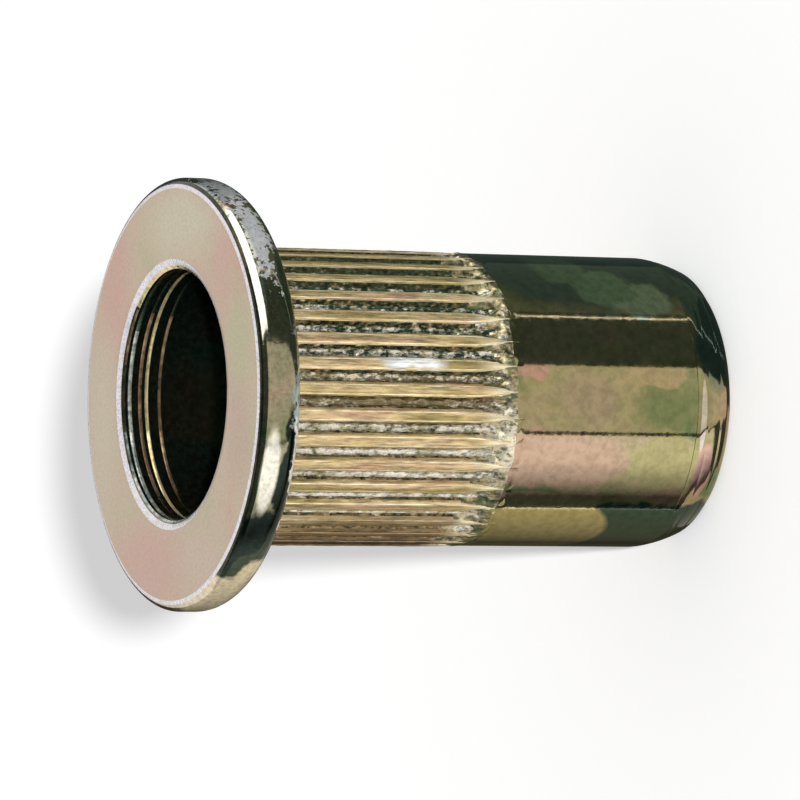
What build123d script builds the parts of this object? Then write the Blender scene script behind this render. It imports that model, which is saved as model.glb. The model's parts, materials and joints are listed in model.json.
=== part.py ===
from build123d import *
import os

# Blind rivet nut with a flat round flange and a straight-knurled shank, for an M8 screw.
# One formed and tapped steel piece, in millimetres. The axis is Z and the flange's seat lies
# in the plane Z = 0, with the flange above it and the open nose pointing down.

# Overall
total_length = 20.8  # from the flange's face to the end of the nose

# Flange
flange_radius = 8.0
flange_thickness = 1.8
flange_front_round = 0.35
flange_back_round = 0.8

# Shank
shank_radius = 5.5

# Knurl
ridge_count = 36
knurl_length = 9.75  # from the seat to the points of the ridges
ridge_foot_width = 0.64
ridge_crest_width = 0.42  # between the shoulders, which are level with the plain shank
crest_curve_radius = 0.6  # crowns the crest a little proud of the plain shank
valley_depth = 0.28  # the floor between ridges lies this far below the plain shank
floor_climb = 0.7  # the floor climbs to the plain shank over this length
point_length = 2.0  # each ridge narrows to a point over this length
point_width = 0.05
point_sink = 0.01  # the point ends this far below the plain shank
ridge_embed = 0.12  # the ridges reach this far into the wall below the floor
ridge_turn = 3.2  # degrees from -Y, towards +X, to the nearest ridge

# Bore and thread
bore_radius = 4.65
bore_mouth_chamfer = 0.3
bore_depth = 11.3  # from the flange's face to the cone that leads into the thread
bore_cone_length = 0.9
thread_minor_radius = 3.3235
thread_exit_chamfer = 0.7

# Nose
nose_length = 1.63
nose_curve_radius = 5.0
nose_edge_radius = 5.07
nose_edge_bevel = 0.2

# Levels along the axis, and radii that follow from the shank
nose_end = flange_thickness - total_length
nose_start = nose_end + nose_length
cone_start = flange_thickness - bore_depth
thread_start = cone_start - bore_cone_length
inside_flange = flange_thickness / 2
floor_radius = shank_radius - valley_depth
foot_radius = floor_radius - ridge_embed

# One ridge, lofted from inside the flange to its point. Each section has a foot buried in
# the wall, two leaning flanks and a crowned crest between the shoulders
ridge_sections = (
    (inside_flange, shank_radius, ridge_crest_width),
    (point_length - knurl_length, shank_radius, ridge_crest_width),
    (-knurl_length, shank_radius - point_sink, point_width),
)

with BuildPart() as ridge:
    for level, shoulder_radius, crest_width in ridge_sections:
        with BuildSketch(Plane.XY.offset(level)):
            with BuildLine():
                Polyline(
                    (shoulder_radius, -crest_width / 2),
                    (foot_radius, -ridge_foot_width / 2),
                    (foot_radius, ridge_foot_width / 2),
                    (shoulder_radius, crest_width / 2),
                )
                RadiusArc(
                    (shoulder_radius, crest_width / 2),
                    (shoulder_radius, -crest_width / 2),
                    crest_curve_radius,
                )
            make_face()
    loft(ruled=True)

# The nut: a turned body with its edges broken, then the ridges round the shank
with BuildPart() as rivet_nut:
    with BuildSketch(Plane.XZ):
        with BuildLine():
            Polyline(
                (nose_edge_radius, nose_end),
                (thread_minor_radius, nose_end),
                (thread_minor_radius, thread_start),
                (bore_radius, cone_start),
                (bore_radius, flange_thickness),
                (flange_radius, flange_thickness),
                (flange_radius, 0),
                (floor_radius, 0),
                (floor_radius, floor_climb - knurl_length),
                (shank_radius, -knurl_length),
                (shank_radius, nose_start),
            )
            RadiusArc(
                (shank_radius, nose_start),
                (nose_edge_radius, nose_end),
                nose_curve_radius,
            )
        make_face()
    revolve(axis=Axis.Z)

    circles = rivet_nut.edges().filter_by(GeomType.CIRCLE)
    face_circles = circles.group_by(Axis.Z)[-1].sort_by(SortBy.RADIUS)
    nose_circles = circles.group_by(Axis.Z)[0].sort_by(SortBy.RADIUS)
    rim_circles = circles.group_by(SortBy.RADIUS)[-1].sort_by(Axis.Z)
    fillet(rim_circles[-1], radius=flange_front_round)
    fillet(rim_circles[0], radius=flange_back_round)
    chamfer(face_circles[0], length=bore_mouth_chamfer)
    chamfer(nose_circles[0], length=thread_exit_chamfer)
    chamfer(nose_circles[-1], length=nose_edge_bevel)

    with PolarLocations(0, ridge_count, start_angle=ridge_turn - 90):
        add(ridge.part)

rivet_nut.part.label = "rivet_nut"
os.makedirs("parts", exist_ok=True)
export_step(rivet_nut.part, "parts/rivet_nut.step")
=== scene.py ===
import bpy
import bmesh
import json
import math
from mathutils import Matrix, Vector


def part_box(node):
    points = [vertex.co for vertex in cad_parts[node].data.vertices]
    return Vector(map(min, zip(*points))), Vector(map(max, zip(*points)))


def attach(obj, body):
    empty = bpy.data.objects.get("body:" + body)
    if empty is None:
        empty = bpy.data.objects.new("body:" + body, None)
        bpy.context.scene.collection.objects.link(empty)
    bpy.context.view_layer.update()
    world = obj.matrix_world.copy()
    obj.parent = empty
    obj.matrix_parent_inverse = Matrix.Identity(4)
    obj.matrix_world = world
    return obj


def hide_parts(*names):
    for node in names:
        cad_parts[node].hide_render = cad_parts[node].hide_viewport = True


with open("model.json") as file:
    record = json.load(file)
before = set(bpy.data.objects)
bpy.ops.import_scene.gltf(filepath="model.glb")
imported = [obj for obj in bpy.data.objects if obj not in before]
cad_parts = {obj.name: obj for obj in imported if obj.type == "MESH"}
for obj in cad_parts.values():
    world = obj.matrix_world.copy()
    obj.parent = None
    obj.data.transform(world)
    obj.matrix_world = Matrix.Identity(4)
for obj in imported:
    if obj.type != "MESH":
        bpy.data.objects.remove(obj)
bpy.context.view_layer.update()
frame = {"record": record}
mm = 0.001
near = 0.01 * mm  # a corner this close to a level or a radius counts as on it
weld = 0.001 * mm  # corners this close become one
smoothAngle = math.radians(30)  # edges that turn more than this stay sharp

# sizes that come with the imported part
mounts = {mount["name"]: mount for mount in frame["record"]["mounts"]}
low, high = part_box("rivet_nut")
flangeRadius = high[0]
faceLevel = high[2]
noseLevel = low[2]
shankRadius = mounts["shank"]["dims"]["r_mm"] * mm
boreRadius = mounts["bore"]["dims"]["r_mm"] * mm
threadRadius = mounts["thread"]["dims"]["r_mm"] * mm
print("frame loaded, flange radius", round(flangeRadius / mm, 3), "mm")


# small helpers
def activate(obj):
    bpy.ops.object.select_all(action="DESELECT")
    bpy.context.view_layer.objects.active = obj
    obj.select_set(True)


def openForEdit(obj):
    activate(obj)
    bpy.ops.object.mode_set(mode="EDIT")
    bpy.ops.mesh.select_mode(type="VERT")
    bpy.ops.mesh.select_all(action="DESELECT")


def closeEdit():
    bpy.ops.object.mode_set(mode="OBJECT")


def applyAll(obj):
    activate(obj)
    for modifier in list(obj.modifiers):
        bpy.ops.object.modifier_apply(modifier=modifier.name)


def pick(obj, test):
    # selects the vertices whose place passes the test
    mesh = bmesh.from_edit_mesh(obj.data)
    for vert in mesh.verts:
        vert.select = test(vert.co)
    mesh.select_flush_mode()
    bmesh.update_edit_mesh(obj.data)


def scaleRound(factor):
    # in or out from the nut's axis
    bpy.ops.transform.resize(value=(factor, factor, 1), center_override=(0, 0, 0))


def drawLine(name, points):
    # one vertex, then extruded from point to point
    bpy.ops.object.select_all(action="DESELECT")
    bpy.ops.mesh.primitive_plane_add(size=mm, location=(0, 0, 0))
    obj = bpy.context.object
    obj.name = name
    openForEdit(obj)
    bpy.ops.mesh.select_all(action="SELECT")
    bpy.ops.mesh.merge(type="CENTER")
    bpy.ops.transform.translate(value=points[0])
    for start, end in zip(points, points[1:]):
        bpy.ops.mesh.extrude_region_move(TRANSFORM_OT_translate={"value": end - start})
    return obj


def spinRound(count, angle, copies=False):
    # turns the whole open mesh round the nut's axis
    bpy.ops.mesh.select_all(action="SELECT")
    bpy.ops.mesh.spin(steps=count, dupli=copies, angle=angle, center=(0, 0, 0), axis=(0, 0, -1))
    bpy.ops.mesh.select_all(action="SELECT")
    bpy.ops.mesh.remove_doubles(threshold=weld)


def pointOutwards():
    bpy.ops.mesh.select_all(action="SELECT")
    bpy.ops.mesh.normals_make_consistent(inside=False)


def steps(start, end, count):
    # evenly spaced values, the end included and the start left out
    return [start + (end - start) * (i + 1) / count for i in range(count)]


def radiusOf(place):
    return math.hypot(place.x, place.y)


# camera
camera = {
    "place": (-0.0000582, -0.224492, 0.102131),
    "elevation": 26.05,
    "roll": -89.02,
    "lens": 300.34,
    "sensor": 36,
    "clip": (0.01, 10),
}


def makeCamera():
    bpy.ops.object.camera_add(location=camera["place"])
    cam = bpy.context.object
    cam.name = "camera"
    cam.data.lens = camera["lens"]
    cam.data.sensor_width = camera["sensor"]
    cam.data.clip_start, cam.data.clip_end = camera["clip"]
    cam.rotation_euler = (math.radians(90 - camera["elevation"]), 0, 0)
    bpy.context.view_layer.update()
    turn = math.radians(camera["roll"])
    cam.matrix_world = cam.matrix_world @ Matrix.Rotation(turn, 4, "Z")
    bpy.context.scene.camera = cam


makeCamera()
print("camera placed")


# zinc plating with its yellow, green and pink film, places and sizes in mm. A spot is an oval of
# another colour, some of them film and some painted light or shade, as marked at each: grit speckles its
# edge, soft blurs it, and even keeps it from wandering
plating = {
    "shank": {
        "colours": [(0.27, 0.35, 0.16), (0.53, 0.46, 0.24), (0.60, 0.49, 0.29), (0.66, 0.44, 0.31)],
        "patch": 0.20, "speckle": 3.0, "speckleDepth": 0.22, "roughness": (0.045, 0.10),
        "grain": 6.0, "grainDepth": 0.07, "metal": 1.0, "stretch": 1.0,
        "spots": [
            # painted dark reflection: the upper side of the plain shank and nose darker
            {"place": (5.4, -1.6, -14.0), "size": (2.5, 4.4, 6.0), "colour": (0.22, 0.27, 0.24),
             "soft": 0.12},
            {"place": (3.8, -3.9, -15.6), "size": (0.8, 1.1, 1.3), "colour": (0.66, 0.74, 0.54),
             "grit": 0.4, "soft": 0.12},
            {"place": (4.2, -3.3, -14.2), "size": (0.85, 1.2, 1.3), "colour": (0.45, 0.60, 0.42),
             "grit": 0.5, "soft": 0.12},
            {"place": (5.0, -2.4, -12.9), "size": (0.9, 1.6, 1.15), "colour": (0.37, 0.49, 0.35),
             "grit": 0.5, "soft": 0.12},
            {"place": (1.1, -5.4, -10.4), "size": (0.35, 1.5, 0.7), "colour": (0.74, 0.45, 0.34)},
            {"place": (-0.2, -5.5, -16.0), "size": (0.9, 1.5, 1.3),
             "colour": (0.31, 0.345, 0.155), "soft": 0.3},
            {"place": (1.0, -5.4, -15.4), "size": (0.45, 1.5, 1.5), "colour": (0.62, 0.49, 0.27)},
            {"place": (0.1, -5.5, -12.6), "size": (0.9, 1.5, 1.2),
             "colour": (0.56, 0.44, 0.28), "soft": 0.3},
            {"place": (-2.2, -5.0, -11.4), "size": (1.1, 1.6, 3.2), "colour": (0.70, 0.49, 0.34)},
            {"place": (-2.2, -5.0, -16.2), "size": (1.2, 1.5, 1.6), "colour": (0.56, 0.50, 0.24)},
            # painted dark reflection on the lower side past the tongue's end, then the tongue itself, a
            # painted reflection
            {"place": (-4.9, -2.5, -16.2), "size": (1.5, 2.4, 4.6),
             "colour": (0.07, 0.11, 0.09), "soft": 0.05},
            {"place": (-4.9, -2.6, -10.7), "size": (1.9, 3.0, 4.2),
             "colour": (0.58, 0.48, 0.28), "soft": 0.03, "even": True},
            # painted dark reflection on the nose's upper side
            {"place": (3.0, -4.3, -18.25), "size": (2.4, 3.0, 0.85),
             "colour": (0.18, 0.25, 0.21), "soft": 0.15},
            # painted highlight: a thin bright line across the nose's arch
            {"place": (-0.5, -5.2, -17.62), "size": (1.4, 1.5, 0.13),
             "colour": (0.90, 0.78, 0.68), "even": True},
            {"place": (-2.6, -4.8, -17.95), "size": (1.1, 1.5, 0.42),
             "colour": (0.80, 0.50, 0.41), "even": True},
        ],
    },
    "rim": {
        "colours": [(0.30, 0.37, 0.20), (0.50, 0.45, 0.30), (0.56, 0.48, 0.34), (0.64, 0.46, 0.34)],
        "patch": 0.22, "speckle": 5.0, "speckleDepth": 0.30, "roughness": (0.07, 0.14),
        "grain": 7.0, "grainDepth": 0.08, "metal": 1.0, "stretch": 1.0,
        "spots": [
            {"place": (-7.0, -3.9, 0.9), "size": (2.4, 3.6, 1.6),
             "colour": (0.78, 0.66, 0.46), "metal": 0.5, "soft": 0.2},
            {"place": (5.9, -5.3, 0.92), "size": (1.8, 2.2, 0.44), "colour": (0.54, 0.55, 0.57),
             "metal": 0.4, "grit": 3.6},
            # painted highlight: the bright streak high on the rim
            {"place": (4.9, -6.3, 1.62), "size": (3.2, 2.7, 0.36), "colour": (0.86, 0.83, 0.73),
             "even": True},
            # painted dark reflection at the top of the rim's front round
            {"place": (7.6, -2.4, 1.62), "size": (0.9, 2.4, 0.36), "colour": (0.20, 0.24, 0.20),
             "grit": 3.0},
            {"place": (7.5, -2.9, 1.15), "size": (0.9, 1.9, 0.55), "colour": (0.46, 0.47, 0.48),
             "metal": 0.4, "grit": 5.0},
            # painted dark reflection on the lower front of the rim
            {"place": (-5.1, -6.1, 1.0), "size": (1.0, 1.7, 1.7), "colour": (0.05, 0.07, 0.055),
             "soft": 0.1},
            {"place": (-5.9, -5.4, 1.5), "size": (1.05, 1.7, 0.60), "colour": (0.05, 0.07, 0.055),
             "soft": 0.1},
            {"place": (-2.9, -7.4, 0.40), "size": (2.8, 2.2, 0.46), "colour": (0.035, 0.05, 0.038)},
            # painted highlight: the lower bright streak on the rim
            {"place": (-2.75, -7.45, 1.22), "size": (1.65, 1.5, 0.34), "colour": (0.86, 0.82, 0.68),
             "metal": 0.5, "even": True, "soft": 0.15},
            # painted highlight: a thin bright line along the rim's underside edge
            {"place": (-2.6, -7.0, 0.14), "size": (2.8, 3.0, 0.18), "colour": (0.84, 0.82, 0.78),
             "metal": 0.4, "grit": 1.0},
            {"place": (0.2, -7.7, 0.10), "size": (1.7, 1.2, 0.26), "colour": (0.34, 0.40, 0.38),
             "metal": 0.5, "grit": 5.0, "soft": 0.3},
        ],
    },
    "face": {
        "colours": [(0.53, 0.49, 0.34), (0.58, 0.49, 0.36), (0.60, 0.48, 0.37), (0.61, 0.42, 0.33)],
        "patch": 0.22, "speckle": 9.0, "speckleDepth": 0.16, "roughness": (0.28, 0.40),
        "grain": 14.0, "grainDepth": 0.18, "metal": 1.0, "stretch": 1.0,
        "spots": [
            {"place": (4.3, 5.4, 1.8), "size": (3.2, 1.3, 2.0),
             "colour": (0.62, 0.42, 0.35), "soft": 0.45},
            {"place": (5.0, -4.3, 1.8), "size": (1.6, 1.0, 2.0),
             "colour": (0.62, 0.44, 0.36), "soft": 0.5},
            {"place": (-6.4, 1.5, 1.8), "size": (1.4, 3.6, 2.0),
             "colour": (0.62, 0.43, 0.36), "soft": 0.45},
            {"place": (1.9, -5.9, 1.8), "size": (1.9, 0.9, 2.0),
             "colour": (0.53, 0.50, 0.34), "soft": 0.5},
            {"place": (-1.3, -6.0, 1.8), "size": (1.7, 1.0, 2.0),
             "colour": (0.57, 0.44, 0.35), "soft": 0.5},
            {"place": (6.4, -0.9, 1.8), "size": (1.3, 2.8, 2.0),
             "colour": (0.63, 0.58, 0.44), "soft": 0.5},
            {"place": (-1.2, 6.2, 1.8), "size": (3.0, 1.3, 2.0),
             "colour": (0.60, 0.53, 0.41), "soft": 0.5},
            {"place": (-6.0, -3.0, 1.8), "size": (1.5, 2.0, 2.0),
             "colour": (0.61, 0.49, 0.40), "soft": 0.5},
        ],
    },
    "ridge": {
        "colours": [(0.50, 0.40, 0.16), (0.72, 0.54, 0.25), (0.84, 0.65, 0.36), (0.72, 0.46, 0.27)],
        "patch": 1.3, "speckle": 9.0, "speckleDepth": 0.55, "roughness": (0.20, 0.32),
        "grain": 9.0, "grainDepth": 0.7, "metal": 0.66, "stretch": 0.12,
        "spots": [
            # painted shade: the ridges darker towards the lower side, darkest at the lower outline
            {"place": (-5.7, -1.0, -4.9), "size": (1.6, 4.5, 7.0),
             "colour": (0.28, 0.18, 0.09), "soft": 0.35},
            {"place": (-5.8, 0.0, -4.9), "size": (0.6, 3.2, 9.0),
             "colour": (0.10, 0.06, 0.03), "soft": 0.2},
            # painted highlight: the ridge points brighter all round
            {"place": (0.0, 0.0, -9.3), "size": (9.0, 9.0, 0.9), "colour": (1.0, 0.88, 0.60),
             "metal": 0.5, "grit": 2.0, "soft": 0.4},
            # painted highlight: a white gleam on a few ridges at the front
            {"place": (1.36, -5.3, -5.6), "size": (0.37, 1.2, 1.25), "colour": (0.92, 0.94, 0.96),
             "metal": 0.3, "grit": 1.3, "soft": 0.3},
        ],
    },
    # painted highlight along the crest's edges
    "glint": {
        "colours": [(0.68, 0.53, 0.25), (0.92, 0.74, 0.42), (0.98, 0.86, 0.58), (0.92, 0.73, 0.46)],
        "patch": 1.6, "speckle": 7.0, "speckleDepth": 0.50, "roughness": (0.16, 0.28),
        "grain": 9.0, "grainDepth": 0.6, "metal": 0.45, "stretch": 0.2,
        "spots": [
            # painted shade: the glints darker towards the lower side
            {"place": (-5.7, -1.0, -4.9), "size": (1.4, 4.5, 7.0),
             "colour": (0.52, 0.36, 0.20), "soft": 0.3},
        ],
    },
    # painted shade: the flanks between crest and valley floor dark brown
    "flank": {
        "colours": [(0.12, 0.13, 0.08), (0.24, 0.18, 0.09), (0.36, 0.26, 0.13), (0.70, 0.60, 0.42)],
        "patch": 2.2, "speckle": 8.0, "speckleDepth": 0.85, "roughness": (0.25, 0.40),
        "grain": 8.0, "grainDepth": 0.6, "metal": 0.6, "stretch": 0.6,
        "spots": [
            # painted dark reflection: the flanks near black on the upper side
            {"place": (6.2, -1.5, -4.9), "size": (6.4, 6.6, 9.0), "colour": (0.05, 0.07, 0.035),
             "grit": 4.0, "soft": 0.4},
        ],
    },
    # painted highlight: the valley floors near white, standing in for glitter
    "valley": {
        "colours": [(0.54, 0.52, 0.36), (0.90, 0.84, 0.70), (0.98, 0.93, 0.84), (0.90, 0.76, 0.55)],
        "patch": 1.6, "speckle": 6.0, "speckleDepth": 0.38, "roughness": (0.14, 0.30),
        "grain": 8.0, "grainDepth": 0.9, "metal": 0.84, "stretch": 0.6,
        "spots": [
            # painted dark reflection: the valleys dark on the upper side
            {"place": (6.2, -1.5, -4.9), "size": (5.1, 6.0, 9.0), "colour": (0.07, 0.12, 0.07),
             "grit": 5.0, "soft": 0.4},
            # painted shade: darker valleys down the middle of the front
            {"place": (0.1, -5.4, -4.9), "size": (0.75, 2.0, 5.0), "colour": (0.30, 0.24, 0.13),
             "grit": 3.0, "soft": 0.4},
        ],
    },
    "runOut": {
        "colours": [(0.16, 0.20, 0.11), (0.40, 0.35, 0.19), (0.68, 0.57, 0.36), (0.98, 0.94, 0.84)],
        "patch": 2.6, "speckle": 5.0, "speckleDepth": 0.75, "roughness": (0.16, 0.30),
        "grain": 7.0, "grainDepth": 0.8, "metal": 0.85, "stretch": 0.6,
        "spots": [
            # painted highlight: bright beads past the tips at the lower front
            {"place": (-1.6, -5.2, -9.5), "size": (1.3, 2.2, 1.0), "colour": (0.98, 0.88, 0.68),
             "metal": 0.6, "grit": 6.0, "soft": 0.3},
        ],
    },
    # painted shade: a dark film for the inside of the hole and the thread
    "bore": {
        "colours": [(0.16, 0.27, 0.22), (0.20, 0.27, 0.20), (0.26, 0.27, 0.18), (0.34, 0.25, 0.16)],
        "patch": 0.4, "speckle": 4.0, "speckleDepth": 0.3, "roughness": (0.12, 0.24),
        "grain": 7.0, "grainDepth": 0.15, "metal": 0.985, "stretch": 1.0, "spots": [],
    },
    # painted shade for the dark band round the face's outer edge
    "dark": {
        "colours": [(0.05, 0.06, 0.045), (0.07, 0.08, 0.06), (0.09, 0.09, 0.06), (0.12, 0.10, 0.07)],
        "patch": 0.8, "speckle": 5.0, "speckleDepth": 0.4, "roughness": (0.12, 0.24),
        "grain": 7.0, "grainDepth": 0.3, "metal": 0.95, "stretch": 1.0, "spots": [],
    },
    # painted reflections for the mouth's lip and turned lines: gold and silver bright, brown dark
    "gold": {
        "colours": [(0.62, 0.58, 0.32), (0.80, 0.68, 0.36), (0.90, 0.76, 0.44), (0.72, 0.50, 0.26)],
        "patch": 0.8, "speckle": 5.0, "speckleDepth": 0.45, "roughness": (0.08, 0.16),
        "grain": 7.0, "grainDepth": 0.2, "metal": 0.7, "stretch": 1.0, "spots": [],
    },
    "silver": {
        "colours": [(0.30, 0.36, 0.33), (0.50, 0.58, 0.56), (0.66, 0.70, 0.64), (0.34, 0.40, 0.38)],
        "patch": 0.8, "speckle": 5.0, "speckleDepth": 0.6, "roughness": (0.08, 0.16),
        "grain": 7.0, "grainDepth": 0.2, "metal": 0.7, "stretch": 1.0, "spots": [],
    },
    "brown": {
        "colours": [(0.12, 0.09, 0.06), (0.24, 0.15, 0.09), (0.34, 0.21, 0.12), (0.52, 0.36, 0.20)],
        "patch": 0.8, "speckle": 5.0, "speckleDepth": 0.5, "roughness": (0.12, 0.2),
        "grain": 7.0, "grainDepth": 0.2, "metal": 0.7, "stretch": 1.0, "spots": [],
    },
    # painted highlight for the mouth's ring and the thin line round the face
    "edge": {
        "colours": [(0.76, 0.74, 0.76), (0.82, 0.80, 0.84), (0.86, 0.84, 0.90), (0.88, 0.82, 0.84)],
        "patch": 1.5, "speckle": 9.0, "speckleDepth": 0.25, "roughness": (0.24, 0.36),
        "grain": 9.0, "grainDepth": 0.5, "metal": 0.6, "stretch": 1.0, "spots": [],
    },
}
# what all finishes share: a noise is its detail, its roughness and, for the patches, its distortion
film = {
    "stops": [0.36, 0.47, 0.56, 0.66],  # where a finish's four colours sit on the patches
    "patches": (4, 0.55, 0.8),
    "specks": (3, 0.6),
    "speckRange": (0.35, 0.60),  # the speck noise between which the colour goes from dark to full
    "sheenRange": (0.3, 0.7),  # and the roughness from its first value to its second
    "grain": (2, 0.5),
    "grainHeight": 0.02 * mm,
    "edgeScale": 0.9,
    "edges": (3, 0.55),
    "edgeReach": 1.1,  # mm that a spot's edge wanders over
    "spotSoft": 0.09,
}


def addNode(tree, kind, inputs, **settings):
    # an input is a value or another node's output
    node = tree.nodes.new(kind)
    for setting, value in settings.items():
        setattr(node, setting, value)
    for name, value in inputs.items():
        if isinstance(value, bpy.types.NodeSocket):
            tree.links.new(value, node.inputs[name])
        else:
            node.inputs[name].default_value = value
    return node


def addMath(tree, operation, *values, clamp=False):
    node = addNode(tree, "ShaderNodeMath", dict(enumerate(values)), operation=operation, use_clamp=clamp)
    return node.outputs["Value"]


def addNoise(tree, place, scale, detail, roughness, warp=0.0):
    return addNode(tree, "ShaderNodeTexNoise", {
        "Vector": place, "Scale": scale, "Detail": detail, "Roughness": roughness, "Distortion": warp,
    })


def addRange(tree, value, fromMin, fromMax, toMin, toMax):
    node = addNode(tree, "ShaderNodeMapRange", {
        "Value": value, "From Min": fromMin, "From Max": fromMax, "To Min": toMin, "To Max": toMax,
    })
    return node.outputs["Result"]


def wanderingPlace(tree, place):
    # the place pushed about by a slow noise
    wave = addNoise(tree, place, film["edgeScale"], *film["edges"])
    centred = addNode(tree, "ShaderNodeVectorMath", {0: wave.outputs["Color"], 1: (0.5, 0.5, 0.5)},
                      operation="SUBTRACT")
    pushed = addNode(tree, "ShaderNodeVectorMath", {
        0: centred.outputs["Vector"], 1: [film["edgeReach"]] * 3, 2: place,
    }, operation="MULTIPLY_ADD")
    return pushed.outputs["Vector"]


def addSpot(tree, place, specks, colour, metal, spot, base):
    # lays a spot over the colour, and over the metal where it says how metallic it is
    oval = addNode(tree, "ShaderNodeMapping", {
        "Vector": place, "Location": spot["place"], "Scale": spot["size"],
    }, vector_type="TEXTURE")
    reach = addNode(tree, "ShaderNodeVectorMath", {0: oval.outputs["Vector"]}, operation="LENGTH")
    grit = spot.get("grit", 0.0)
    edge = addMath(tree, "MULTIPLY_ADD", specks, grit, reach.outputs["Value"])
    middle = 1 + grit / 2  # the specks lie round one half
    soft = spot.get("soft", film["spotSoft"])
    inside = addRange(tree, edge, middle - soft, middle + soft, 1.0, 0.0)
    blend = addNode(tree, "ShaderNodeMixRGB", {
        "Fac": inside, "Color1": colour, "Color2": (*spot["colour"], 1),
    })
    if "metal" in spot:
        metal = addMath(tree, "MULTIPLY_ADD", inside, spot["metal"] - base, metal, clamp=True)
    return blend.outputs["Color"], metal


def addSpots(tree, place, specks, colour, look, shader):
    wandering = wanderingPlace(tree, place)
    metal = look["metal"]
    for spot in look["spots"]:
        where = place if "even" in spot else wandering
        colour, metal = addSpot(tree, where, specks, colour, metal, spot, look["metal"])
    if any("metal" in spot for spot in look["spots"]):
        tree.links.new(metal, shader.inputs["Metallic"])
    return colour


def platingMaterial(name, look):
    material = bpy.data.materials.new(name)
    material.use_nodes = True
    tree = material.node_tree
    shader = tree.nodes["Principled BSDF"]
    shader.inputs["Metallic"].default_value = look["metal"]
    coords = tree.nodes.new("ShaderNodeTexCoord")
    inMm = addNode(tree, "ShaderNodeMapping", {"Vector": coords.outputs["Object"], "Scale": [1 / mm] * 3})
    place = inMm.outputs["Vector"]
    drawn = addNode(tree, "ShaderNodeMapping", {"Vector": place, "Scale": (1, 1, look["stretch"])})
    along = drawn.outputs["Vector"]
    # patches of the rainbow film
    patches = addNoise(tree, along, look["patch"], *film["patches"])
    ramp = addNode(tree, "ShaderNodeValToRGB", {"Fac": patches.outputs["Fac"]})
    ramp.color_ramp.interpolation = "EASE"
    elements = ramp.color_ramp.elements
    while len(elements) < len(film["stops"]):
        elements.new(0.5)
    for element, stop, colour in zip(elements, film["stops"], look["colours"]):
        element.position = stop
        element.color = (*colour, 1)
    specks = addNoise(tree, along, look["speckle"], *film["specks"]).outputs["Fac"]
    colour = ramp.outputs["Color"]
    if look["spots"]:
        colour = addSpots(tree, place, specks, colour, look, shader)
    # fine dark specks, satin between them
    depth = addRange(tree, specks, *film["speckRange"], 1 - look["speckleDepth"], 1.0)
    blend = addNode(tree, "ShaderNodeVectorMath", {0: colour, "Scale": depth}, operation="SCALE")
    tree.links.new(blend.outputs["Vector"], shader.inputs["Base Color"])
    sheen = addRange(tree, specks, *film["sheenRange"], *look["roughness"])
    tree.links.new(sheen, shader.inputs["Roughness"])
    grain = addNoise(tree, along, look["grain"], *film["grain"])
    bump = addNode(tree, "ShaderNodeBump", {
        "Height": grain.outputs["Fac"], "Strength": look["grainDepth"], "Distance": film["grainHeight"],
    })
    tree.links.new(bump.outputs["Normal"], shader.inputs["Normal"])
    return material


zinc = {name: platingMaterial("zinc_" + name, look) for name, look in plating.items()}
print("plating ready,", len(zinc), "finishes")

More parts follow.
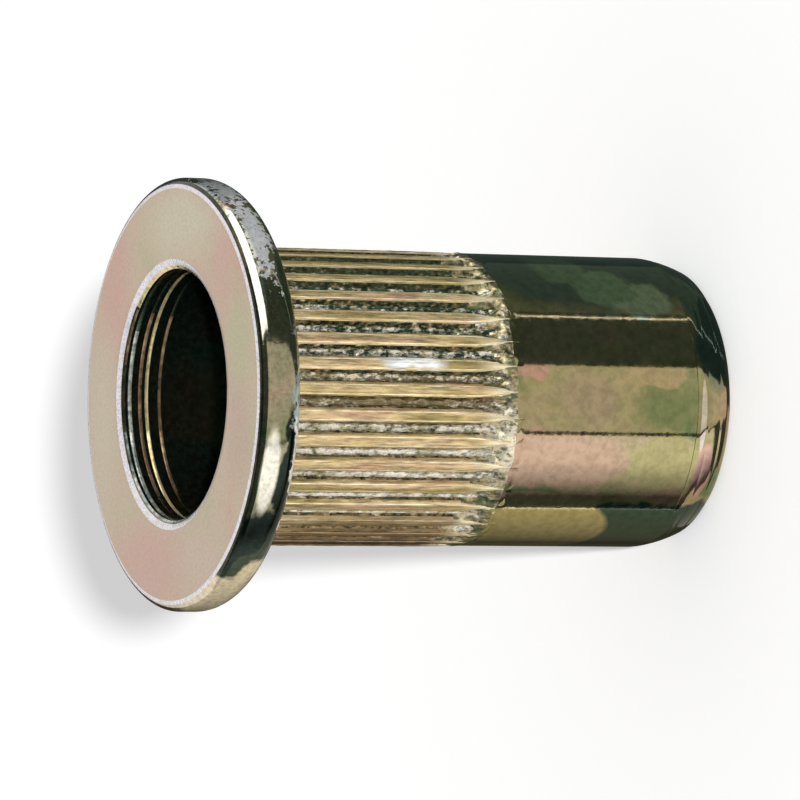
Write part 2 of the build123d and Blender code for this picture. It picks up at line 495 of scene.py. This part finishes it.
# shank with its knurl
knurl = {
    "ridges": 36,
    "columns": 20,  # faces across one ridge and its valley
    "length": 9.75 * mm,
    "turn": 3.2,  # degrees from -Y towards +X, to the middle of the first ridge
    # stretches down the shank: how far past the knurl's end each one goes (below zero is short of
    # it), and its rows of faces
    "stretches": [(-2.1 * mm, 56), (0.35 * mm, 32), (0.51 * mm, 2)],
    # height in mm over the plain shank, column by column from the crest's middle
    "section": [0.036, 0.034, 0.029, 0.020, 0.004, -0.026, -0.115, -0.225, -0.268, -0.282, -0.285],
    "foot": 5,  # the column at the ridge's foot
    "floorEdge": 7,  # the one where the valley floor begins
    "pointLength": 1.7 * mm,  # where the ridges narrow
    "pointPower": 1.4,
    "pointWidth": 0.10,  # share of the width that is left at the tip
    "pointDrop": 0.6,  # share of the height that is lost there
    "runOut": 0.75 * mm,  # where the valley floor climbs
    # the low swelling past the tips, its two heights in mm
    "lip": {"reach": 0.3 * mm, "middle": 0.12 * mm, "half": 0.13 * mm, "floor": 0.025, "crest": 0.01},
    # finish, first and last column (the side towards +X is the positive one), and where it starts
    # the flank finish is painted shade, the valley and glint finishes painted highlight
    "finishes": [
        ("valley", -10, -7, 0), ("valley", 7, 10, 0), ("flank", -7, -5, 0), ("flank", 6, 7, 0),
        ("ridge", -5, 6, 0), ("glint", -4, -3, 0), ("glint", 3, 4, 0),
        ("runOut", -7, -5, -8.3 * mm), ("runOut", 5, 7, -8.3 * mm), ("runOut", -8, -7, -8.9 * mm),
        ("runOut", 7, 9, -9.0 * mm), ("runOut", -10, -8, -9.3 * mm), ("runOut", 9, 10, -9.2 * mm),
    ],
    "finishEnd": 0.1 * mm,  # how far past the knurl they go
    # uneven pushes: over which columns and rows, the rows by their height over the knurl's end,
    # and over what length they start or stop
    "grits": {
        "tipShift": {
            "size": 1.6 * mm, "strength": 0.42 * mm, "contrast": 1.2, "direction": "Z",
            "columns": (0, 10), "rows": (-0.55 * mm, 1.85 * mm), "fadeOut": 1.2 * mm,
        },
        "valleyDrift": {
            "size": 0.30 * mm, "strength": 0.16 * mm, "contrast": 1.5, "direction": "Z",
            "columns": (7, 9), "rows": (0.3 * mm, 9.55 * mm),
        },
        "valleyGrit": {
            "size": 0.20 * mm, "strength": 0.085 * mm, "contrast": 1.6, "direction": "NORMAL",
            "columns": (7, 10), "rows": (0.8 * mm, 9.70 * mm),
        },
        "runOutGrit": {
            "size": 0.22 * mm, "strength": 0.10 * mm, "contrast": 1.6, "direction": "NORMAL",
            "columns": (5, 10), "rows": (0.0, 0.8 * mm), "fadeIn": 0.3 * mm,
        },
        "crestGrit": {
            "size": 0.35 * mm, "strength": 0.022 * mm, "contrast": 1.4, "direction": "NORMAL",
            "columns": (0, 4), "rows": (-0.05 * mm, 9.70 * mm),
        },
    },
}
nose = {
    "start": -17.37 * mm,
    "plainRows": 4,  # rows of faces on the plain shank before it
    "lead": 0.06 * mm,  # how far above the start they end
    "creaseDepth": 0.035 * mm,
    "creaseHalf": 0.015 * mm,
    "edgeRadius": 5.07 * mm,
    "curve": 5.0 * mm,
    "rows": 12,
    "lines": (3, 8),  # rows of the arch with a turned line
    "lineDepth": 0.008 * mm,
    "lineHalf": 0.03 * mm,
    "lineSlope": 0.01 * mm,
    "bevel": 0.2 * mm,
    "bevelFlare": 0.04 * mm,  # how far its top stands out
    "toeShare": 0.8,  # where the bevel turns into the flat end
    "toeHeight": 0.02 * mm,
    "ringRadius": 4.4 * mm,  # of the flat end's inner part
}


def archPoints(start, end, radius, rows):
    # points of an outward arch from start to end, both as (radius, level)
    a, b = Vector(start), Vector(end)
    chord = b - a
    rise = math.sqrt(radius ** 2 - (chord.length / 2) ** 2)
    inward = Vector((chord.y, -chord.x)).normalized()
    centre = (a + b) / 2 + inward * rise
    fromA, fromB = a - centre, b - centre
    startTurn = math.atan2(fromA.y, fromA.x)
    endTurn = math.atan2(fromB.y, fromB.x)
    turns = steps(startTurn, endTurn, rows)
    return [(centre.x + radius * math.cos(t), centre.y + radius * math.sin(t)) for t in turns]


def shankLevels():
    levels = [0.0]
    for past, rows in knurl["stretches"]:
        levels += steps(levels[-1], -(knurl["length"] + past), rows)
    return levels + steps(levels[-1], nose["start"] + nose["lead"], nose["plainRows"])


def noseOutline():
    # crease, arch with its turned lines, and bevel down to the flat end, as (radius, level)
    crease, creaseHalf = shankRadius - nose["creaseDepth"], nose["creaseHalf"]
    outline = [(crease, nose["start"] + creaseHalf), (crease, nose["start"] - creaseHalf)]
    edge = (nose["edgeRadius"] + nose["bevelFlare"], noseLevel + nose["bevel"])
    arch = archPoints((shankRadius, nose["start"]), edge, nose["curve"], nose["rows"])
    half, depth, slope = nose["lineHalf"], nose["lineDepth"], nose["lineSlope"]
    for row, (r, z) in enumerate(arch):
        if row in nose["lines"]:
            outline += [(r, z + half), (r - depth, z), (r - slope, z - half)]
        else:
            outline.append((r, z))
    toeRadius = nose["edgeRadius"] - nose["toeShare"] * nose["bevel"]
    outline.append((toeRadius, noseLevel + nose["toeHeight"]))
    outline.append((nose["edgeRadius"] - nose["bevel"], noseLevel))
    return outline


def makeShankSector():
    # one ridge and its valley, plain as yet, from the seat to the nose's flat end
    half = math.radians(180 / knurl["ridges"])
    levels = shankLevels()
    outline = [(shankRadius, z) for z in levels] + noseOutline()
    points = [Vector((r * math.cos(half), -r * math.sin(half), z)) for r, z in outline]
    obj = drawLine("rivet_nut_body", points)
    spinRound(knurl["columns"], 2 * half)
    return obj, levels


def columnOf(place):
    width = 360 / knurl["ridges"] / knurl["columns"]
    return round(math.degrees(math.atan2(place.y, place.x)) / width)


def paint(obj, finish, test):
    # a finish for the faces whose corners all pass the test
    material = zinc[finish]
    if obj.data.materials.find(material.name) < 0:
        obj.data.materials.append(material)
    pick(obj, test)
    obj.active_material_index = obj.data.materials.find(material.name)
    bpy.ops.object.material_slot_assign()


def paintSector(obj):
    # ridge, flank and valley get their finish while the columns still stand straight
    paint(obj, "shank", lambda p: True)
    end = -knurl["length"] - knurl["finishEnd"]
    for finish, first, last, top in knurl["finishes"]:
        paint(obj, finish, lambda p: first <= columnOf(p) <= last and end < p.z < top + near)


def gritWeight(look, level):
    # how much a row takes part in a push
    height = level + knurl["length"]
    lowest, highest = look["rows"]
    if not lowest < height <= highest:
        return 0.0
    fadeIn = (height - lowest) / look["fadeIn"] if "fadeIn" in look else 1.0
    fadeOut = (highest - height) / look["fadeOut"] if "fadeOut" in look else 1.0
    return min(1.0, fadeIn, fadeOut)


def markRows(obj, name, look, levels):
    # a vertex group over some columns, its weight row by row
    group = obj.vertex_groups.new(name=name)
    first, last = look["columns"]
    for level in levels:
        weight = gritWeight(look, level)
        if weight > 0:
            pick(obj, lambda p: first <= abs(columnOf(p)) <= last and abs(p.z - level) < near)
            bpy.context.scene.tool_settings.vertex_group_weight = weight
            obj.vertex_groups.active_index = group.index
            bpy.ops.object.vertex_group_assign()


def raiseRow(obj, level):
    # towards the tips the crest sinks and the valley floor climbs to the plain shank
    height = level + knurl["length"]
    crest, floor, lip = knurl["section"][0], knurl["section"][-1], knurl["lip"]
    climb = min(1.0, max(0.0, 1 - height / knurl["runOut"]))
    newFloor = floor * (1 - climb * climb * (3 - 2 * climb))
    newCrest = crest * (1 - knurl["pointDrop"] * (1 - height / knurl["pointLength"]))
    if height < 0:
        swelling = max(0.0, 1 - abs(height + lip["middle"]) / lip["half"])
        newFloor, newCrest = lip["floor"] * swelling, lip["crest"] * swelling
    for column, before in enumerate(knurl["section"]):
        share = (before - floor) / (crest - floor)
        raised = newFloor + share * (newCrest - newFloor)
        pick(obj, lambda p: abs(columnOf(p)) == column and abs(p.z - level) < near)
        scaleRound(1 + raised * mm / shankRadius)


def narrowRow(obj, level):
    # the ridge closes in to its point, and the columns beside it follow
    foot, edge = knurl["foot"], knurl["floorEdge"]
    closing = max(0.0, 1 - (level + knurl["length"]) / knurl["pointLength"])
    narrow = max(knurl["pointWidth"], 1 - closing ** knurl["pointPower"])
    pick(obj, lambda p: abs(columnOf(p)) <= foot and abs(p.z - level) < near)
    bpy.ops.transform.resize(value=(1, narrow, 1), center_override=(0, 0, 0))
    for column in range(foot + 1, edge):
        share = (column - foot) / (edge - foot)
        squeeze = (foot * narrow * (1 - share) + edge * share) / column
        pick(obj, lambda p: abs(columnOf(p)) == column and abs(p.z - level) < near)
        bpy.ops.transform.resize(value=(1, squeeze, 1), center_override=(0, 0, 0))


def shapeKnurl(obj, levels):
    pointStart = knurl["pointLength"] - knurl["length"]
    lipEnd = -knurl["length"] - knurl["lip"]["reach"]
    # the straight length, a column at a time
    for column, height in enumerate(knurl["section"]):
        pick(obj, lambda p: abs(columnOf(p)) == column and p.z > pointStart - near)
        scaleRound(1 + height * mm / shankRadius)
    # the points and the run-outs, a row at a time
    for level in levels:
        if lipEnd <= level <= pointStart - near:
            raiseRow(obj, level)
            narrowRow(obj, level)


def repeatRidges():
    # the open sector becomes the whole round
    share = 360 / knurl["ridges"]
    spinRound(knurl["ridges"] - 1, math.radians(360 - share), copies=True)
    closeEdit()


shank, shankRows = makeShankSector()
paintSector(shank)
for gritName, grit in knurl["grits"].items():
    markRows(shank, gritName, grit, shankRows)
shapeKnurl(shank, shankRows)
repeatRidges()
print("shank made,", len(shank.data.vertices), "vertices")

# flange and bore
flange = {
    "seatStart": 6.2 * mm,
    "backRound": 0.8 * mm,
    "frontRound": 0.40 * mm,
    "rimStep": 0.3 * mm,  # height of the row of faces under the front round
    "rows": {"backRound": 10, "frontRound": 8, "face": 10},
    "columns": 240,
    "mouthWidth": 0.34 * mm,
    "lipWidth": 0.12 * mm,  # the polished part of the mouth's chamfer
    "mouthDepth": 0.10 * mm,
    "lipStep": 0.045 * mm,
    "edgeLine": 0.045 * mm,  # the painted highlight line round the face
    "shadeLine": 0.125 * mm,  # the painted shade line outside it
    "shadeEnd": -6.5 * mm,  # along X, where the dark one stops
    "boreRows": [-3 * mm, -6 * mm],
    "markEdge": 0.02 * mm,  # the plain row at each side of a turned line
    # turned lines inside the mouth, in mm: depth under the face, height, how deep it cuts,
    # then the painted reflection on it, between two places along X
    "toolMarks": [
        (0.34, 0.13, 0.045, "silver", -5.0, 2.4), (0.76, 0.12, 0.040, "brown", -3.8, 3.1),
        (1.03, 0.12, 0.060, "gold", -5.0, 5.0), (1.56, 0.11, 0.050, "brown", -3.7, 3.0),
    ],
    "lipReflections": [("gold", 3.2, 5.0), ("brown", 1.0, 3.2), ("silver", -5.0, -1.4)],
}
thread = {
    "start": -10.4 * mm,
    "outerRadius": 4.0 * mm,
    "pitch": 1.25 * mm,
    "coneStart": -9.5 * mm,
    "exitChamfer": 0.7 * mm,
    "holeRows": 4,
    "rootShare": 0.4375,  # half widths of the ridge, as shares of the pitch
    "crestShare": 0.125,
    "sunk": 0.05 * mm,  # how far its foot reaches into the wall
    "over": 0.4 * mm,  # how far above the cone it starts, before it is cut
    "under": 0.3 * mm,  # and how far below the nose it goes at least
    "steps": 96,
}


def roundCorner(centre, radius, startTurn, endTurn, rows):
    turns = [math.radians(t) for t in steps(startTurn, endTurn, rows)]
    return [(centre[0] + radius * math.cos(t), centre[1] + radius * math.sin(t)) for t in turns]


def flangeOutline():
    # from the seat round the rim to the mouth, as (radius, level)
    back, front, rows = flange["backRound"], flange["frontRound"], flange["rows"]
    mouth = boreRadius + flange["mouthWidth"]
    outline = [(flange["seatStart"], 0), (flangeRadius - back, 0)]
    outline += roundCorner((flangeRadius - back, back), back, -90, 0, rows["backRound"])
    outline += [(flangeRadius, faceLevel - front - flange["rimStep"]), (flangeRadius, faceLevel - front)]
    outline += roundCorner((flangeRadius - front, faceLevel - front), front, 0, 90, rows["frontRound"])
    outline += [(r, faceLevel) for r in steps(flangeRadius - front, mouth, rows["face"])]
    return outline


def boreOutline():
    # the mouth's chamfer, the turned lines, the bore, its cone and the thread's hole
    lip, lipLevel, lipStep = flange["lipWidth"], faceLevel - flange["mouthDepth"], flange["lipStep"]
    outline = [(boreRadius + lip, lipLevel), (boreRadius + lip - lipStep, lipLevel - lipStep)]
    outline.append((boreRadius, lipLevel - flange["mouthDepth"]))
    for depth, height, cut, finish, first, last in flange["toolMarks"]:
        level, foot = faceLevel - depth * mm, faceLevel - (depth + height) * mm
        outline += [(boreRadius, level + flange["markEdge"]), (boreRadius + cut * mm, level)]
        outline += [(boreRadius, foot), (boreRadius, foot - flange["markEdge"])]
    outline += [(boreRadius, z) for z in flange["boreRows"] + [thread["coneStart"]]]
    hole, toe = thread["outerRadius"], nose["toeHeight"]
    slope = (thread["coneStart"] - thread["start"]) / (boreRadius - threadRadius)
    coneEnd = thread["coneStart"] - slope * (boreRadius - hole)
    outline.append((hole, coneEnd))
    outline += [(hole, z) for z in steps(coneEnd, noseLevel + toe, thread["holeRows"])]
    outline += [(hole + toe, noseLevel), (nose["ringRadius"], noseLevel)]
    return outline


def makeFlangeAndBore():
    obj = drawLine("flange", [Vector((r, 0, z)) for r, z in flangeOutline() + boreOutline()])
    spinRound(flange["columns"], 2 * math.pi)
    closeEdit()
    return obj


def paintFlange(obj):
    # the flange is painted by place, before it joins the shank
    mouth = boreRadius + flange["mouthWidth"] + near
    inner = boreRadius + flange["lipWidth"] + near
    corner = flangeRadius - flange["frontRound"] - near
    ringEnd = faceLevel - flange["mouthDepth"] - near
    lipEnd = ringEnd - flange["mouthDepth"]
    lineEnd = faceLevel - flange["edgeLine"]
    shadeEnd = faceLevel - flange["shadeLine"]
    openForEdit(obj)
    paint(obj, "rim", lambda p: True)
    paint(obj, "face", lambda p: p.z > faceLevel - near)
    paint(obj, "bore", lambda p: radiusOf(p) < inner or p.z < -near)
    # painted reflections on the lip, by place along X
    for finish, first, last in flange["lipReflections"]:
        # only the gold covers the lip's first step
        top = ringEnd + 2 * near - (0 if finish == "gold" else flange["lipStep"])
        paint(obj, finish,
              lambda p: radiusOf(p) < inner and lipEnd < p.z < top and first < p.x / mm < last)
    # painted reflections on the turned lines, by place along X
    for depth, height, cut, finish, first, last in flange["toolMarks"]:
        top, foot = faceLevel - depth * mm + near, faceLevel - (depth + height) * mm - near
        paint(obj, finish,
              lambda p: radiusOf(p) < inner and foot < p.z < top and first < p.x / mm < last)
    # painted highlight on the mouth's ring
    paint(obj, "edge", lambda p: radiusOf(p) < mouth and p.z > ringEnd)
    # painted shade: a dark band on the front round outside the edge line
    outer = faceLevel - 2 * near
    paint(obj, "dark",
          lambda p: radiusOf(p) > corner and shadeEnd < p.z < outer and p.x > flange["shadeEnd"])
    # painted highlight: the thin line round the face
    paint(obj, "edge", lambda p: radiusOf(p) > corner and p.z > lineEnd)
    closeEdit()


def joinBody(obj, other):
    # ridge one to its place, then flange and shank become one closed skin
    turn = math.radians(knurl["turn"] - 90)
    obj.data.transform(Matrix.Rotation(turn, 4, "Z"))
    activate(obj)
    other.select_set(True)
    bpy.ops.object.join()
    openForEdit(obj)
    loops = [
        (0.0, 0.0, flange["seatStart"] + near),
        (noseLevel, nose["ringRadius"] - near, nose["edgeRadius"] - nose["bevel"] + near),
    ]
    for level, inner, outer in loops:
        pick(obj, lambda p: abs(p.z - level) < near and inner < radiusOf(p) < outer)
        bpy.ops.mesh.fill(use_beauty=False)
    pointOutwards()
    closeEdit()


def cloudTexture(name, look):
    texture = bpy.data.textures.new(name, "CLOUDS")
    texture.noise_scale = look["size"]
    texture.noise_depth = 2
    texture.contrast = look["contrast"]
    return texture


def addGrit(obj, name, look):
    # an uneven push on the marked rows
    push = obj.modifiers.new(name, "DISPLACE")
    push.texture = cloudTexture(name, look)
    push.texture_coords = "LOCAL"
    push.direction = look["direction"]
    push.mid_level = 0.5
    push.strength = look["strength"]
    push.vertex_group = name
    applyAll(obj)


flangeSkin = makeFlangeAndBore()
paintFlange(flangeSkin)
joinBody(shank, flangeSkin)
for gritName, grit in knurl["grits"].items():
    addGrit(shank, gritName, grit)
bpy.ops.object.shade_smooth_by_angle(angle=smoothAngle)
print("body joined,", len(shank.data.polygons), "faces")

# thread inside
drill = {
    "play": 0.005 * mm,  # how much smaller it is than the minor bore
    "wide": 0.1 * mm,  # how much wider than the bore, above the cone
    "above": 1.0 * mm,
    "below": 3.0 * mm,
    "exitWide": 0.09 * mm,  # the chamfer's end, out past the outer radius and up from the nose
    "exitHeight": 0.03 * mm,
    "past": 0.3 * mm,
    "columns": 85,
    "ahead": 0.02,  # radians, so that no corner of the drill meets one of the coil
}


def makeDrill():
    # the space that the screw needs: cone, minor bore and the chamfer at the nose
    wide, cone = boreRadius + drill["wide"], thread["coneStart"]
    inside, past = threadRadius - drill["play"], thread["outerRadius"] + drill["past"]
    top, bottom = cone + drill["above"], noseLevel - drill["below"]
    exitLevel = noseLevel + drill["exitHeight"]
    outline = [
        (0, top), (wide, top), (wide, cone), (boreRadius, cone),
        (inside, thread["start"]), (inside, noseLevel + thread["exitChamfer"]),
        (thread["outerRadius"] + drill["exitWide"], exitLevel), (past, exitLevel),
        (past, bottom), (0, bottom),
    ]
    ahead = drill["ahead"]
    points = [Vector((r * math.cos(ahead), r * math.sin(ahead), z)) for r, z in outline]
    obj = drawLine("drill", points)
    spinRound(drill["columns"], 2 * math.pi)
    pointOutwards()
    closeEdit()
    return obj


def makeCoil():
    # the ridge's section, wound up the hole and closed at both ends
    pitch = thread["pitch"]
    root = thread["outerRadius"] + thread["sunk"]
    rootHalf, crestHalf = thread["rootShare"] * pitch, thread["crestShare"] * pitch
    section = [(root, rootHalf), (threadRadius, crestHalf), (threadRadius, -crestHalf), (root, -rootHalf)]
    top = thread["coneStart"] + thread["over"]
    turns = math.ceil((top - noseLevel + thread["under"]) / pitch)
    bottom = top - turns * pitch
    obj = drawLine("inner_thread", [Vector((r, 0, bottom + z)) for r, z in section])
    bpy.ops.mesh.select_all(action="SELECT")
    bpy.ops.mesh.edge_face_add()
    bpy.ops.mesh.delete(type="ONLY_FACE")
    closeEdit()
    coil = obj.modifiers.new("coil", "SCREW")
    coil.axis = "Z"
    coil.angle = 2 * math.pi
    coil.screw_offset = pitch
    coil.iterations = turns
    coil.steps = coil.render_steps = thread["steps"]
    coil.use_merge_vertices = False
    applyAll(obj)
    openForEdit(obj)
    bpy.ops.mesh.select_all(action="SELECT")
    bpy.ops.mesh.fill_holes(sides=4)
    pointOutwards()
    closeEdit()
    return obj


def makeThread():
    obj = makeCoil()
    tool = makeDrill()
    cut = obj.modifiers.new("cut", "BOOLEAN")
    cut.operation = "DIFFERENCE"
    cut.solver = "MANIFOLD"
    cut.object = tool
    applyAll(obj)
    bpy.data.objects.remove(tool)
    bpy.ops.object.shade_smooth_by_angle(angle=smoothAngle)
    obj.data.materials.append(zinc["bore"])
    return obj


innerThread = makeThread()
print("thread made,", len(innerThread.data.polygons), "faces")

# stage and light
stage = {
    "floorSize": 8.0,
    "floorColour": (0.97, 0.97, 0.97),
    "floorGlow": 0.14,
    "skyLight": 0.50,
    "sunStrength": 3.4,
    "sunTurn": 3.0,
    "sunRise": 21.8,
    "sunSize": 2.0,
    "sunHeight": 0.5,
    "tentRadius": 0.6,
    "tentSegments": 48,
    "tentRings": 24,
    "cardDistance": 0.5,
    "cardRows": 12,
    "cardColumns": 24,
    "fadeDark": 0.06,  # a fading card's strength at its dark end
}
# turn from -Y towards +X and rise over the horizon, both in degrees
cards = {
    "overheadCard": {"turn": (90, 270), "rise": (62, 89.9), "colour": (1, 1, 1), "strength": 0.8},
    "sideCard": {"turn": (34, 112), "rise": (-12, 50), "colour": (1, 0.99, 0.92), "strength": 1.8},
    "backCard": {"turn": (112, 242), "rise": (6, 58), "colour": (1, 0.98, 0.95), "strength": 0.95},
    "frontLowCard": {"turn": (-23.6, 28), "rise": (-80, 14), "colour": (1, 0.97, 0.85), "strength": 0.64},
    "sideLowCard": {
        "turn": (-84, -26.4), "rise": (-60, 14), "colour": (1, 0.99, 0.97), "strength": 0.95,
        "fade": (-80, -47),  # dark at the first turn, full from the second
    },
    "edgeStrip": {"turn": (69.3, 70.3), "rise": (-70, -12), "colour": (1, 1, 1), "strength": 1.9},
    "greenCard": {"turn": (74, 138), "rise": (-48, -14), "colour": (0.75, 0.9, 0.65), "strength": 0.15},
    "brownCard": {
        "turn": (-178, -94), "rise": (-40, 4), "colour": (1, 0.95, 0.6), "strength": 0.62,
        "fade": (-150, -94),
    },
    "brownStrip": {"turn": (-94.6, -93.2), "rise": (-40, 4), "colour": (1, 0.97, 0.85), "strength": 2.0},
    "underCard": {"turn": (-178, -88), "rise": (-85, -40), "colour": (1, 0.92, 0.75), "strength": 0.5},
}
tentCloth = {"colour": (0.74, 1, 0.85), "strength": 0.068}


def glowMaterial(name, card):
    material = bpy.data.materials.new(name)
    material.use_nodes = True
    tree = material.node_tree
    tree.nodes.clear()
    level = card["strength"]
    if "fade" in card:
        coords = tree.nodes.new("ShaderNodeTexCoord")
        compass = addNode(tree, "ShaderNodeTexGradient", {"Vector": coords.outputs["Object"]},
                          gradient_type="RADIAL")
        # the gradient goes from 0 to 1 in one turn that starts at -X
        dark, full = [((turn - 90) / 360 + 0.5) % 1 for turn in card["fade"]]
        level = addRange(tree, compass.outputs["Fac"], dark, full, stage["fadeDark"], level)
    glow = addNode(tree, "ShaderNodeEmission", {"Color": (*card["colour"], 1), "Strength": level})
    addNode(tree, "ShaderNodeOutputMaterial", {"Surface": glow.outputs["Emission"]})
    material.cycles.emission_sampling = "NONE"
    return material


def onlyReflected(obj):
    # the metal mirrors it, and nothing else sees it
    obj.visible_camera = False
    obj.visible_diffuse = False
    obj.visible_transmission = False
    obj.visible_volume_scatter = False
    obj.visible_shadow = False


def makeCard(name, card):
    # a piece of a sphere round the part, between two turns and two rises
    turn = math.radians(card["turn"][0] - 90)
    sweep = math.radians(card["turn"][1] - card["turn"][0])
    rise = math.radians(card["rise"][0])
    climb = math.radians(card["rise"][1] - card["rise"][0])
    flat = Vector((math.cos(turn), math.sin(turn), 0))
    start = stage["cardDistance"] * (flat * math.cos(rise) + Vector((0, 0, math.sin(rise))))
    obj = drawLine(name, [start])
    hinge = flat.cross(Vector((0, 0, 1)))
    bpy.ops.mesh.spin(steps=stage["cardRows"], angle=climb, center=(0, 0, 0), axis=-hinge)
    bpy.ops.mesh.select_all(action="SELECT")
    bpy.ops.mesh.spin(steps=stage["cardColumns"], angle=sweep, center=(0, 0, 0), axis=(0, 0, -1))
    closeEdit()
    obj.data.materials.append(glowMaterial(name, card))
    onlyReflected(obj)


def seenBy(tree, *rayKinds):
    # 1 for the named rays and 0 for all others
    rays = tree.nodes.new("ShaderNodeLightPath")
    seen = rays.outputs[rayKinds[0]]
    for kind in rayKinds[1:]:
        seen = addMath(tree, "MAXIMUM", seen, rays.outputs[kind])
    return seen


def makeFloor():
    bpy.ops.mesh.primitive_plane_add(size=stage["floorSize"], location=(0, 0, noseLevel))
    floor = bpy.context.object
    floor.name = "floor"
    floor.visible_glossy = False
    material = bpy.data.materials.new("paper")
    material.use_nodes = True
    tree = material.node_tree
    paper = tree.nodes["Principled BSDF"]
    paper.inputs["Base Color"].default_value = (*stage["floorColour"], 1)
    paper.inputs["Roughness"].default_value = 1.0
    paper.inputs["Specular IOR Level"].default_value = 0.0
    paper.inputs["Emission Color"].default_value = (1, 1, 1, 1)
    glow = addMath(tree, "MULTIPLY", seenBy(tree, "Is Camera Ray", "Is Glossy Ray"), stage["floorGlow"])
    tree.links.new(glow, paper.inputs["Emission Strength"])
    floor.data.materials.append(material)


def makeReflections():
    bpy.ops.mesh.primitive_uv_sphere_add(segments=stage["tentSegments"], ring_count=stage["tentRings"],
                                         radius=stage["tentRadius"])
    tent = bpy.context.object
    tent.name = "darkTent"
    tent.data.materials.append(glowMaterial("darkCloth", tentCloth))
    onlyReflected(tent)
    for name, card in cards.items():
        makeCard(name, card)


def makeLight():
    bpy.ops.object.light_add(type="SUN", location=(0, 0, stage["sunHeight"]))
    sun = bpy.context.object
    sun.name = "keyLight"
    sun.data.energy = stage["sunStrength"]
    sun.data.angle = math.radians(stage["sunSize"])
    sun.visible_glossy = False
    sun.rotation_euler = (math.radians(90 - stage["sunRise"]), 0, math.radians(stage["sunTurn"]))
    world = bpy.data.worlds.new("studio")
    bpy.context.scene.world = world
    world.use_nodes = True
    tree = world.node_tree
    sky = tree.nodes["Background"]
    sky.inputs["Color"].default_value = (1, 1, 1, 1)
    seen = seenBy(tree, "Is Camera Ray", "Is Glossy Ray", "Is Transmission Ray")
    level = addRange(tree, seen, 0, 1, stage["skyLight"], 1.0)
    tree.links.new(level, sky.inputs["Strength"])


makeFloor()
makeReflections()
makeLight()
bpy.context.scene.view_settings.view_transform = "Standard"
print("stage and light set")

for piece in (shank, innerThread):
    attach(piece, "root")
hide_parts("rivet_nut")
